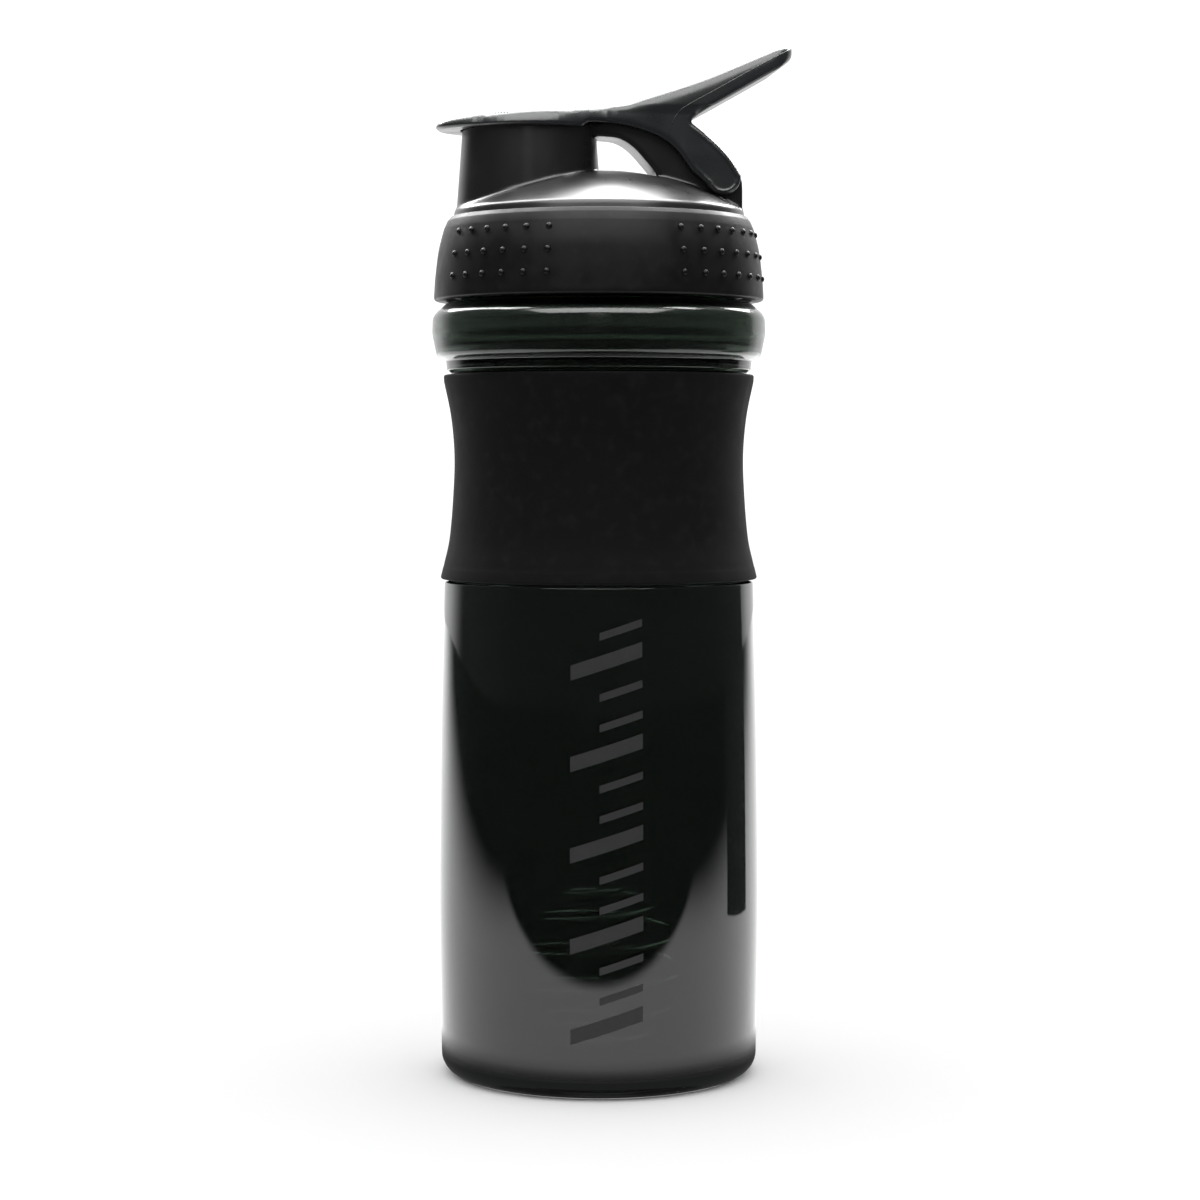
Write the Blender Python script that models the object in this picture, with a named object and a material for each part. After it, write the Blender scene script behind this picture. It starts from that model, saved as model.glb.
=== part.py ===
"""Protein shaker bottle: a waisted body with a soft sleeve, a screw lid with a carry loop,
a hinged flip cap over the spout, and a loose wire whisk ball.

Dimensions are in millimetres and are scaled to metres where a mesh is made. +Z is up, the
bottle stands on z = 0 at its own centre, the spout is at -X and the thumb tab at +X.
"""
import math

import bmesh
import bpy

MM = 0.001
SEGMENTS = 40              # facets round every turned piece
GAP = 0.3                  # clearance between pieces that meet
WELD = 0.002 * MM          # joins the duplicate points that a cut can leave

# bottle
BASE_FLAT_R = 34.7         # contact edge of the foot ring
FOOT_RING_INNER_R = 27.5
GATE_PAD_R = 6.0           # moulding gate pad, level with the foot ring
BASE_RECESS = 1.0
BASE_CORNER = 6.0
BODY_R = 39.73             # fullest radius of the lower body
BODY_TOP_Z = 121.9         # where the body turns in under the sleeve
BULGE_R = 41.2
BULGE_Z = 185.1
WALL = 1.9
FLOOR_Z = 3.0
NECK_R = 34.0
NECK_BORE_R = 31.8
NECK_FOOT_Z = 191.5
NECK_TOP_Z = 208.5

# thread: two starts, shared by the neck and the lid
THREAD_LEAD = 10.0
THREAD_STARTS = 2
THREAD_BASE_HALF = 1.0
THREAD_CREST_HALF = 0.5
NECK_CREST_R = 35.2
NECK_THREAD_Z = 196.0
LID_CREST_R = 34.35
LID_THREAD_Z = NECK_THREAD_Z - THREAD_LEAD / THREAD_STARTS / 2.0
THREAD_CLOCK_DEG = 1.7     # keeps the ridges' ends off the wall's facet edges
RIDGE_STEPS = 20

# sleeve
SLEEVE_BOTTOM_Z = 122.7
SLEEVE_TOP_Z = 173.0
SLEEVE_LIP_R = 39.3
SLEEVE_WALL = 1.7

# lid
SKIRT_R = 37.2
SKIRT_BORE_R = 35.6
SKIRT_BOTTOM_Z = 192.2
DOME_R = 68.7
DOME_CENTRE_Z = 154.35
DOME_WALL = 1.8
DOME_EDGE_R = 35.0
PLUG_LIP_R = 31.4
PLUG_LIP_BORE_R = 30.0
PLUG_LIP_Z = 205.0
LAND_Z = 210.5             # flat seat over the gasket
LAND_R = 34.3
BAND_BOTTOM_Z = 191.1
BAND_TOP_Z = 211.5

# spout
SPOUT_X = -17.2
SPOUT_TOP_Z = 234.3
SPOUT_TOP_R = 16.25
SPOUT_FOOT_Z = 213.0
SPOUT_FOOT_R = 17.85
SPOUT_WALL = 1.9

# carry loop and hinge
LOOP_HALF_WIDTH = 6.7
HINGE_X = 29.7
HINGE_Z = 221.2
TRUNNION_R = 2.0
TRUNNION_BORE_R = 2.35
TRUNNION_END_Y = 5.2
TRUNNION_BORE_END_Y = 4.8

# flip cap
ARM_INNER_Y = 7.1
ARM_OUTER_Y = 9.5
ARM_END_R = 4.4
CAP_DISC_R = 18.5
CAP_RIM_Z = 232.4
CAP_RIM_WALL = 1.7
CAP_SEAT_Z = 235.2         # underside of the cover over the spout
CAP_TIP_X = -40.3
TAB_END_X = 47.6
STUD_R = 5.0
STUD_TOP_Z = 236.6

# plug
PLUG_TOP_R = 14.0
PLUG_END_R = 12.2
PLUG_END_Z = 229.9

# whisk ball
BALL_R = 22.0
WIRE_R = 1.2
BALL_TURNS = 6
BALL_STEPS_PER_TURN = 20
BALL_POLE_ANGLE = math.radians(14.0)


def clear_scene():
    """Start from an empty file."""
    for obj in list(bpy.data.objects):
        bpy.data.objects.remove(obj)


def make_material(name, colour, roughness, metallic=0.0, alpha=1.0):
    """A plain Principled material for one piece."""
    material = bpy.data.materials.new(name)
    material.use_nodes = True
    shader = material.node_tree.nodes["Principled BSDF"]
    shader.inputs["Base Color"].default_value = (*colour, 1.0)
    shader.inputs["Roughness"].default_value = roughness
    shader.inputs["Metallic"].default_value = metallic
    shader.inputs["Alpha"].default_value = alpha
    return material


def place_mesh(name, bm):
    """Turn a bmesh in millimetres into an object in metres."""
    bmesh.ops.recalc_face_normals(bm, faces=bm.faces)
    bmesh.ops.scale(bm, vec=(MM, MM, MM), verts=bm.verts)
    mesh = bpy.data.meshes.new(name)
    bm.to_mesh(mesh)
    bm.free()
    obj = bpy.data.objects.new(name, mesh)
    bpy.context.collection.objects.link(obj)
    return obj


def arc(centre_a, centre_b, radius, start_deg, end_deg, steps):
    """Points along an arc, both ends included."""
    points = []
    for i in range(steps + 1):
        angle = math.radians(start_deg + (end_deg - start_deg) * i / steps)
        points.append((centre_a + radius * math.cos(angle), centre_b + radius * math.sin(angle)))
    return points


def turned(name, profile, axis_x=0.0, segments=SEGMENTS):
    """Turn a profile of (radius, z) about the vertical axis at axis_x.

    A profile that starts and ends on the axis is closed by it; any other is closed on itself.
    """
    bm = bmesh.new()
    rings = []
    for radius, z in profile:
        if radius < 1e-6:
            rings.append([bm.verts.new((axis_x, 0.0, z))] * segments)
            continue
        ring = []
        for i in range(segments):
            angle = 2.0 * math.pi * i / segments
            ring.append(bm.verts.new((axis_x + radius * math.cos(angle), radius * math.sin(angle), z)))
        rings.append(ring)
    pairs = list(zip(rings, rings[1:]))
    if profile[0][0] > 1e-6:
        pairs.append((rings[-1], rings[0]))
    for lower, upper in pairs:
        for i in range(segments):
            j = (i + 1) % segments
            corners = []
            for vert in (lower[i], lower[j], upper[j], upper[i]):
                if vert not in corners:
                    corners.append(vert)
            if len(corners) > 2:
                bm.faces.new(corners)
    return place_mesh(name, bm)


def prism(name, outline, low, high, across):
    """Extrude an outline along Y (points are x, z) or along Z (points are x, y)."""
    bm = bmesh.new()
    verts = []
    for a, b in outline:
        verts.append(bm.verts.new((a, low, b) if across == "Y" else (a, b, low)))
    face = bm.faces.new(verts)
    grown = bmesh.ops.extrude_face_region(bm, geom=[face])
    moved = [item for item in grown["geom"] if isinstance(item, bmesh.types.BMVert)]
    shift = (0.0, high - low, 0.0) if across == "Y" else (0.0, 0.0, high - low)
    bmesh.ops.translate(bm, vec=shift, verts=moved)
    return place_mesh(name, bm)


def thread_ridge(name, base_r, crest_r, start_z, start_deg, from_turn, to_turn):
    """One helical ridge with a trapezoid section."""
    bm = bmesh.new()
    section = ((base_r, -THREAD_BASE_HALF), (crest_r, -THREAD_CREST_HALF),
               (crest_r, THREAD_CREST_HALF), (base_r, THREAD_BASE_HALF))
    rings = []
    for i in range(RIDGE_STEPS + 1):
        turn = from_turn + (to_turn - from_turn) * i / RIDGE_STEPS
        angle = 2.0 * math.pi * turn + math.radians(start_deg + THREAD_CLOCK_DEG)
        z = start_z + THREAD_LEAD * turn
        rings.append([bm.verts.new((r * math.cos(angle), r * math.sin(angle), z + dz)) for r, dz in section])
    for first, second in zip(rings, rings[1:]):
        for k in range(4):
            bm.faces.new((first[k], first[(k + 1) % 4], second[(k + 1) % 4], second[k]))
    bm.faces.new(rings[0])
    bm.faces.new(rings[-1])
    return place_mesh(name, bm)


def combine(target, tool, operation):
    """Apply an exact Boolean and remove the tool."""
    modifier = target.modifiers.new("combine", "BOOLEAN")
    modifier.operation = operation
    modifier.object = tool
    modifier.solver = "EXACT"
    depsgraph = bpy.context.evaluated_depsgraph_get()
    mesh = bpy.data.meshes.new_from_object(target.evaluated_get(depsgraph))
    bm = bmesh.new()
    bm.from_mesh(mesh)
    bmesh.ops.remove_doubles(bm, verts=bm.verts, dist=WELD)
    bm.to_mesh(mesh)
    bm.free()
    target.modifiers.clear()
    target.data = mesh
    bpy.data.objects.remove(tool)


def finish_piece(obj, material, origin=(0.0, 0.0, 0.0)):
    """Give a piece its material, its smooth shading and its origin, given in millimetres."""
    obj.data.materials.clear()
    obj.data.materials.append(material)
    obj.data.shade_smooth()
    obj.data.set_sharp_from_angle(angle=math.radians(35.0))
    for vert in obj.data.vertices:
        vert.co.x -= origin[0] * MM
        vert.co.y -= origin[1] * MM
        vert.co.z -= origin[2] * MM
    obj.location = [value * MM for value in origin]
    return obj


def sleeve_outline():
    """Outer face of the sleeve, bottom to top, as (radius, z)."""
    return [(38.4, 126.0), (36.9, 133.0), (35.96, 144.2), (35.7, 153.5), (36.5, 162.8), (38.2, 171.3)]


def sleeve_bore():
    """Inner face of the sleeve, bottom to top."""
    return [(r - SLEEVE_WALL, z) for r, z in sleeve_outline()]


def build_bottle():
    """The blow-moulded body with its foot ring, waist, bulge and threaded neck."""
    foot = [(0.0, 0.0), (GATE_PAD_R, 0.0), (GATE_PAD_R + 1.5, BASE_RECESS),
            (FOOT_RING_INNER_R - 1.5, BASE_RECESS), (FOOT_RING_INNER_R, 0.0), (BASE_FLAT_R, 0.0),
            (37.2, 1.0), (38.5, 3.0), (39.0, BASE_CORNER)]
    lower = [(39.4, 17.7), (BODY_R, 40.0), (39.6, 61.0), (39.2, 87.1), (38.64, 107.0), (38.2, BODY_TOP_Z)]
    waist = [(37.1, BODY_TOP_Z + 0.4)]
    waist += [(r - GAP, z) for r, z in sleeve_bore()]
    shoulder = [(36.5, SLEEVE_TOP_Z + 0.5), (37.6, 174.2), (38.7, 176.9), (40.4, 178.9), (BULGE_R, BULGE_Z - 2.0),
                (BULGE_R, BULGE_Z + 0.6), (40.6, 187.6), (39.4, 188.8), (38.0, 190.1), (NECK_R, NECK_FOOT_Z)]
    neck = [(NECK_R, NECK_TOP_Z), (NECK_BORE_R, NECK_TOP_Z), (NECK_BORE_R, NECK_FOOT_Z + 2.5)]
    inside = [(34.6, 190.4), (38.4, 187.4), (BULGE_R - WALL, BULGE_Z - 1.0), (38.2, 180.2), (35.9, 176.2)]
    inside += [(r - GAP - WALL, z) for r, z in reversed(sleeve_bore()[1:])]
    inside += [(36.3, BODY_TOP_Z - 2.0), (37.3, 87.0), (BODY_R - WALL, 40.0), (37.5, 17.7), (36.8, 9.0),
               (35.0, 4.6), (32.0, FLOOR_Z), (0.0, FLOOR_Z)]
    bottle = turned("bottle_body", foot + lower + waist + shoulder + neck + inside)
    for start in range(THREAD_STARTS):
        ridge = thread_ridge("ridge", NECK_R - 0.5, NECK_CREST_R, NECK_THREAD_Z, start * 360.0 / THREAD_STARTS,
                             0.0, 1.0)
        combine(bottle, ridge, "UNION")
    return finish_piece(bottle, make_material("smoke_plastic", (0.02, 0.025, 0.022), 0.08, alpha=0.6))


def build_sleeve():
    """The soft waisted sleeve with its flared lower lip."""
    outer = [(SLEEVE_LIP_R - 0.9, SLEEVE_BOTTOM_Z), (SLEEVE_LIP_R, SLEEVE_BOTTOM_Z + 0.2)]
    outer += sleeve_outline()
    top = [(38.3, SLEEVE_TOP_Z), (36.9, SLEEVE_TOP_Z)]
    inner = list(reversed(sleeve_bore()))
    lip = [(37.5, SLEEVE_BOTTOM_Z)]
    sleeve = turned("grip_sleeve", outer + top + inner + lip)
    return finish_piece(sleeve, make_material("silicone", (0.008, 0.008, 0.008), 0.75))


def build_gasket():
    """The sealing ring between the neck and the lid."""
    low = NECK_TOP_Z + GAP
    high = LAND_Z - GAP
    profile = [(32.0, low), (33.9, low), (33.9, high), (31.9, high)]
    gasket = turned("lid_gasket", profile)
    return finish_piece(gasket, make_material("gasket_rubber", (0.02, 0.02, 0.02), 0.6))


def dome_arc(radius, edge_r, steps):
    """Points over a dome, from its edge to the axis."""
    edge = math.degrees(math.acos(edge_r / radius))
    points = arc(0.0, DOME_CENTRE_Z, radius, edge, 90.0, steps)
    points[-1] = (0.0, DOME_CENTRE_Z + radius)
    return points


def loop_outline():
    """Side view of the carry loop and its rear post, as (x, z)."""
    front = [(-3.6, 230.9), (-3.6, 234.1), (-0.9, 234.5), (2.0, 235.7), (6.0, 236.4), (10.0, 236.6)]
    crown = [(15.0, 236.2), (18.5, 235.4), (21.0, 234.6), (24.9, 232.5), (28.4, 229.7)]
    rear = [(30.9, 227.3), (32.8, 224.8), (34.1, 222.6), (34.8, 220.6), (34.9, 218.0), (34.9, 212.4)]
    underside = [(14.8, 215.0), (14.5, 220.9), (11.1, 225.0), (7.8, 228.5), (4.4, 230.5), (0.5, 231.0)]
    return front + crown + rear + underside


def build_lid_shell():
    """The lid moulding: threaded skirt, dome, spout and fixed carry loop."""
    skirt = [(0.0, SKIRT_BOTTOM_Z), (SKIRT_R, SKIRT_BOTTOM_Z), (SKIRT_R, 205.5), (36.4, 208.5), (35.9, 210.5),
             (35.7, 211.9), (35.5, 212.7)]
    lid = turned("lid_shell", skirt + dome_arc(DOME_R, DOME_EDGE_R, 9))
    spout = turned("spout", [(0.0, SPOUT_FOOT_Z), (SPOUT_FOOT_R, SPOUT_FOOT_Z), (SPOUT_TOP_R, SPOUT_TOP_Z - 0.6),
                             (SPOUT_TOP_R - 0.6, SPOUT_TOP_Z), (0.0, SPOUT_TOP_Z)], SPOUT_X, 40)
    combine(lid, spout, "UNION")
    loop = prism("loop", loop_outline(), -LOOP_HALF_WIDTH, LOOP_HALF_WIDTH, "Y")
    combine(lid, loop, "UNION")
    low = SKIRT_BOTTOM_Z - 2.0
    room = [(0.0, low), (SKIRT_BORE_R, low), (SKIRT_BORE_R, 207.0), (LAND_R, 209.0), (LAND_R, LAND_Z),
            (PLUG_LIP_R, LAND_Z), (PLUG_LIP_R, PLUG_LIP_Z), (PLUG_LIP_BORE_R, PLUG_LIP_Z)]
    inside = turned("inside", room + dome_arc(DOME_R - DOME_WALL, PLUG_LIP_BORE_R, 7))
    for start in range(THREAD_STARTS):
        ridge = thread_ridge("ridge", SKIRT_BORE_R + 0.6, LID_CREST_R, LID_THREAD_Z,
                             start * 360.0 / THREAD_STARTS, 0.1, 0.9)
        combine(inside, ridge, "DIFFERENCE")
    combine(lid, inside, "DIFFERENCE")
    bore_top_r = SPOUT_TOP_R - SPOUT_WALL
    bore_foot_r = SPOUT_FOOT_R - SPOUT_WALL - 0.6
    bore = turned("bore", [(0.0, SPOUT_FOOT_Z), (bore_foot_r, SPOUT_FOOT_Z), (bore_top_r, SPOUT_TOP_Z + 2.0),
                           (0.0, SPOUT_TOP_Z + 2.0)], SPOUT_X, 38)
    combine(lid, bore, "DIFFERENCE")
    hinge_bores(lid)
    return finish_piece(lid, make_material("lid_plastic", (0.012, 0.012, 0.013), 0.3))


def cylinder_y(name, radius, low, high):
    """A pin along Y on the hinge axis."""
    return prism(name, arc(HINGE_X, HINGE_Z, radius, 0.0, 345.0, 23), low, high, "Y")


def hinge_bores(lid):
    """Blind bores in both sides of the post for the cap's trunnions."""
    reach = LOOP_HALF_WIDTH + 1.0
    combine(lid, cylinder_y("bore", TRUNNION_BORE_R, TRUNNION_BORE_END_Y, reach), "DIFFERENCE")
    combine(lid, cylinder_y("bore", TRUNNION_BORE_R, -reach, -TRUNNION_BORE_END_Y), "DIFFERENCE")


def build_grip_band():
    """The soft band moulded round the lid's skirt."""
    outer = [(40.2, BAND_BOTTOM_Z), (40.65, BAND_BOTTOM_Z + 0.6), (40.35, 196.3), (39.8, 201.2), (39.4, 203.7),
             (38.8, 206.2), (38.1, 208.7), (37.3, 210.4), (36.6, BAND_TOP_Z)]
    inner = [(36.15, BAND_TOP_Z), (36.3, 210.5), (36.8, 208.4), (SKIRT_R + GAP, 205.7),
             (SKIRT_R + GAP, BAND_BOTTOM_Z)]
    band = turned("grip_band", outer + inner)
    return finish_piece(band, make_material("band_rubber", (0.01, 0.01, 0.01), 0.5))


def cap_side_outline():
    """Side view of the cover, the web over the loop, and the rising thumb tab, as (x, z)."""
    top = [(CAP_TIP_X, 233.4), (CAP_TIP_X + 0.3, 234.6), (-38.0, 235.5), (-31.2, 237.0), (-24.5, 237.7),
           (-14.4, 238.5), (0.3, 239.1), (6.5, 239.8)]
    tab_top = [(10.0, 241.2), (20.1, 244.5), (27.8, 247.4), (34.6, 250.3), (42.0, 253.3), (45.6, 254.2),
               (47.2, 253.4), (TAB_END_X, 251.6)]
    tab_under = [(46.2, 249.4), (37.9, 244.4), (32.6, 241.4), (27.3, 238.4), (22.8, 235.9), (21.4, 235.1)]
    web_under = [(18.7, 235.8), (15.1, 236.65), (10.0, 237.0), (5.8, 236.85), (1.7, 236.2), (-0.9, CAP_SEAT_Z),
                 (-35.0, CAP_SEAT_Z), (-37.0, 232.9)]
    return top + tab_top + tab_under + web_under


def cap_plan_outline():
    """Plan of the cover, web and tab, as (x, y): one side, then its mirror image."""
    side = [(CAP_TIP_X, 2.0), (-39.6, 4.6), (-37.6, 7.6), (-34.0, 11.0)]
    side += arc(SPOUT_X, 0.0, CAP_DISC_R, 138.0, 48.0, 8)
    side += [(-1.5, 11.6), (3.0, 10.2), (8.0, 9.7), (20.0, 10.0), (28.0, 11.4), (38.0, 12.0), (43.5, 11.0),
             (46.6, 7.6), (TAB_END_X, 2.6)]
    return side + [(x, -y) for x, y in reversed(side)]


def arm_outline():
    """Side view of one arm, from the web down to its round end, as (x, z)."""
    lower = [(-3.0, 234.6), (4.4, 233.9), (11.1, 232.0), (15.4, 230.0), (18.6, 227.2), (21.6, 223.0)]
    end = arc(HINGE_X, HINGE_Z, ARM_END_R, 200.0, 400.0, 12)
    upper = [(30.0, 227.0), (26.2, 230.5), (22.2, 233.4), (21.3, 235.6), (19.0, 240.0), (8.0, 238.6),
             (-3.0, 237.4)]
    return lower + end + upper


def build_flip_cap():
    """The hinged cap: cover with front lip, rim, two arms with trunnions, and the tab."""
    cap = prism("flip_cap", cap_side_outline(), -30.0, 30.0, "Y")
    plan = prism("plan", cap_plan_outline(), 220.0, 260.0, "Z")
    combine(cap, plan, "INTERSECT")
    rim = turned("rim", [(CAP_DISC_R - CAP_RIM_WALL, CAP_RIM_Z), (CAP_DISC_R - 0.2, CAP_RIM_Z),
                         (CAP_DISC_R - 0.2, CAP_SEAT_Z + 0.8), (CAP_DISC_R - CAP_RIM_WALL, CAP_SEAT_Z + 0.8)],
                 SPOUT_X, 40)
    reach = ARM_INNER_Y
    slot = prism("slot", [(-10.0, -reach), (8.0, -reach), (8.0, reach), (-10.0, reach)], 230.0, 240.0, "Z")
    combine(rim, slot, "DIFFERENCE")
    combine(cap, rim, "UNION")
    for side in (1.0, -1.0):
        low, high = sorted((side * ARM_INNER_Y, side * ARM_OUTER_Y))
        combine(cap, prism("arm", arm_outline(), low, high, "Y"), "UNION")
        low, high = sorted((side * TRUNNION_END_Y, side * (ARM_INNER_Y + 1.0)))
        combine(cap, cylinder_y("trunnion", TRUNNION_R, low, high), "UNION")
    socket = turned("socket", [(0.0, CAP_SEAT_Z - 1.0), (STUD_R + GAP, CAP_SEAT_Z - 1.0),
                               (STUD_R + GAP, STUD_TOP_Z + GAP), (0.0, STUD_TOP_Z + GAP)], SPOUT_X, 32)
    combine(cap, socket, "DIFFERENCE")
    material = make_material("cap_plastic", (0.014, 0.015, 0.017), 0.35)
    return finish_piece(cap, material, (HINGE_X, 0.0, HINGE_Z))


def build_spout_plug(cap):
    """The tapered seal under the cover, held by a stud in the cover's socket."""
    top_z = CAP_SEAT_Z - GAP
    profile = [(0.0, PLUG_END_Z), (PLUG_END_R - 1.0, PLUG_END_Z), (PLUG_END_R, PLUG_END_Z + 0.7),
               (PLUG_TOP_R, top_z - 0.6), (PLUG_TOP_R - 0.2, top_z), (STUD_R, top_z), (STUD_R, STUD_TOP_Z),
               (0.0, STUD_TOP_Z)]
    plug = turned("spout_plug", profile, SPOUT_X, 40)
    finish_piece(plug, make_material("plug_rubber", (0.02, 0.02, 0.02), 0.55), (HINGE_X, 0.0, HINGE_Z))
    plug.location = (0.0, 0.0, 0.0)
    plug.parent = cap
    return plug


def build_whisk_ball():
    """One steel wire wound in a spherical spiral, resting on the bottle's floor."""
    centre_z = FLOOR_Z + GAP + BALL_R
    path_r = BALL_R - WIRE_R
    steps = BALL_TURNS * BALL_STEPS_PER_TURN
    curve = bpy.data.curves.new("whisk_ball", "CURVE")
    curve.dimensions = "3D"
    curve.bevel_depth = WIRE_R * MM
    curve.bevel_resolution = 1
    curve.use_fill_caps = True
    spline = curve.splines.new("POLY")
    spline.points.add(steps)
    for i in range(steps + 1):
        polar = BALL_POLE_ANGLE + (math.pi - 2.0 * BALL_POLE_ANGLE) * i / steps
        turn = 2.0 * math.pi * BALL_TURNS * i / steps
        x = path_r * math.sin(polar) * math.cos(turn)
        y = path_r * math.sin(polar) * math.sin(turn)
        z = centre_z - path_r * math.cos(polar)
        spline.points[i].co = (x * MM, y * MM, z * MM, 1.0)
    ball = bpy.data.objects.new("whisk_ball", curve)
    bpy.context.collection.objects.link(ball)
    curve.materials.append(make_material("whisk_steel", (0.6, 0.6, 0.6), 0.25, metallic=1.0))
    return ball


def build_all():
    """Model every piece."""
    clear_scene()
    build_bottle()
    build_sleeve()
    build_gasket()
    build_lid_shell()
    build_grip_band()
    cap = build_flip_cap()
    build_spout_plug(cap)
    build_whisk_ball()


build_all()
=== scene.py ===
"""Looks of the protein shaker bottle: fine meshes, materials, light and camera.

Shapes are worked out in millimetres, in the part's own frame, and scaled to metres where a
mesh is made.
"""
import math

import bmesh
import bpy
import numpy as np
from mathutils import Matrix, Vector


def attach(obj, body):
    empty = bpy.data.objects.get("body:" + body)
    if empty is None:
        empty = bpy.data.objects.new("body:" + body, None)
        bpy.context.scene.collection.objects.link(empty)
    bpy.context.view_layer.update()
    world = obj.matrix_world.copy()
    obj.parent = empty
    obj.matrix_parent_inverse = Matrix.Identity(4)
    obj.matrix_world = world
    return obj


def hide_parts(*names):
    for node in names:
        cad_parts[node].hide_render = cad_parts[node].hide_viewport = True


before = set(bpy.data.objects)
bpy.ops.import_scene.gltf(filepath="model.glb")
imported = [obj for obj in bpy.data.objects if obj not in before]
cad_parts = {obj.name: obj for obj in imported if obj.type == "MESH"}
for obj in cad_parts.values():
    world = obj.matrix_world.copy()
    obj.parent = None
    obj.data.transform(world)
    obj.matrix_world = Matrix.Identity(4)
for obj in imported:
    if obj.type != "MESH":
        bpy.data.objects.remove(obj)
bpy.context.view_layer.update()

MM = 0.001

# --- sizes shared with the CAD model, in millimetres ---------------------------------------
THREAD_LEAD = 10.0
THREAD_STARTS = 2
THREAD_BASE_HALF = 1.0
THREAD_CREST_HALF = 0.5
NECK_R = 34.0
NECK_CREST_R = 35.2
NECK_BORE_R = 31.8
NECK_FOOT_Z = 191.5
NECK_TOP_Z = 208.5
NECK_THREAD_Z = 196.0
LID_CREST_R = 34.35
LID_THREAD_Z = NECK_THREAD_Z - THREAD_LEAD / THREAD_STARTS / 2.0
SKIRT_R = 37.2
SKIRT_BORE_R = 35.6
SKIRT_BOTTOM_Z = 192.2
DOME_R = 68.7
DOME_CENTRE_Z = 154.35
DOME_WALL = 1.8
PLUG_LIP_R = 31.4
PLUG_LIP_BORE_R = 30.0
PLUG_LIP_Z = 205.0
LAND_Z = 210.5
LAND_R = 34.3
SPOUT_X = -17.2
SPOUT_TOP_Z = 234.3
SPOUT_TOP_R = 16.25
SPOUT_FOOT_Z = 213.0
SPOUT_FOOT_R = 17.85
SPOUT_WALL = 1.9
LOOP_HALF_WIDTH = 6.7
HINGE_X = 29.7
HINGE_Z = 221.2
TRUNNION_R = 2.0
TRUNNION_BORE_R = 2.35
TRUNNION_END_Y = 5.2
TRUNNION_BORE_END_Y = 4.8
ARM_INNER_Y = 7.1
ARM_OUTER_Y = 9.5
ARM_END_R = 4.4
CAP_DISC_R = 18.5
CAP_RIM_Z = 232.4
CAP_RIM_WALL = 1.7
CAP_SEAT_Z = 235.2
CAP_TIP_X = -40.3
TAB_END_X = 47.6
STUD_TOP_Z = 236.6
STUD_R = 5.0
PLUG_TOP_R = 14.0
PLUG_END_R = 12.2
PLUG_END_Z = 229.9
BALL_R = 22.0
BALL_TURNS = 6
BALL_POLE_ANGLE = math.radians(14.0)
WIRE_R = 1.2
WALL = 1.9
SLEEVE_WALL = 1.7
SLEEVE_TOP_Z = 173.0
BAND_BOTTOM_Z = 191.1
BAND_TOP_Z = 211.5
FLOOR_Z = 3.0
GAP = 0.3

# --- further sizes of the fine meshes, in millimetres ------------------------------------------
THREAD_ENDS = 20           # the ridges' ends rise over one part in so many of a turn
TRUNNION_ROOT_Y = 8.0      # inside the arm
GASKET_IN_R = 32.0
GASKET_OUT_R = 33.9
GASKET_SOFT = 0.45         # corner radius of the gasket's section
LID_STEP = 0.45            # grid steps of the two meshes made from distance fields
CAP_STEP = 0.35


# --- curves and meshes -----------------------------------------------------------------------
def spline(points, per_span=8):
    """A smooth curve through the points (Catmull-Rom), both ends included."""
    p = [np.array(q, float) for q in points]
    p = [2 * p[0] - p[1]] + p + [2 * p[-1] - p[-2]]
    out = []
    for a, b, c, d in zip(p, p[1:], p[2:], p[3:]):
        for i in range(per_span):
            t = i / per_span
            out.append(tuple(0.5 * (2 * b + (c - a) * t + (2 * a - 5 * b + 4 * c - d) * t * t
                                    + (3 * b - a - 3 * c + d) * t ** 3)))
    out.append(tuple(p[-2]))
    return out


def rounded(corners, steps=6):
    """A path whose corners, given as (a, b, radius), are rounded by arcs."""
    out = []
    count = len(corners)
    for i, (a, b, radius) in enumerate(corners):
        here = np.array((a, b))
        if radius <= 0.0 or i in (0, count - 1):
            out.append((a, b))
            continue
        before = np.array(corners[i - 1][:2]) - here
        after = np.array(corners[i + 1][:2]) - here
        before /= np.linalg.norm(before)
        after /= np.linalg.norm(after)
        half = 0.5 * math.acos(max(-1.0, min(1.0, float(before @ after))))
        reach = radius / math.tan(half)
        middle = (before + after) / np.linalg.norm(before + after)
        centre = here + middle * radius / math.sin(half)
        start, end = here + before * reach - centre, here + after * reach - centre
        for k in range(steps + 1):
            arm = start * (1 - k / steps) + end * (k / steps)
            out.append(tuple(centre + arm * radius / np.linalg.norm(arm)))
    return out


def make_object(name, verts, faces, angle=40.0):
    """A smooth-shaded mesh object from points in millimetres."""
    mesh = bpy.data.meshes.new(name)
    mesh.from_pydata((np.asarray(verts) * MM).tolist(), [], faces)
    mesh.validate()
    obj = bpy.data.objects.new(name, mesh)
    bpy.context.collection.objects.link(obj)
    mesh.shade_smooth()
    mesh.set_sharp_from_angle(angle=math.radians(angle))
    return obj


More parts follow.
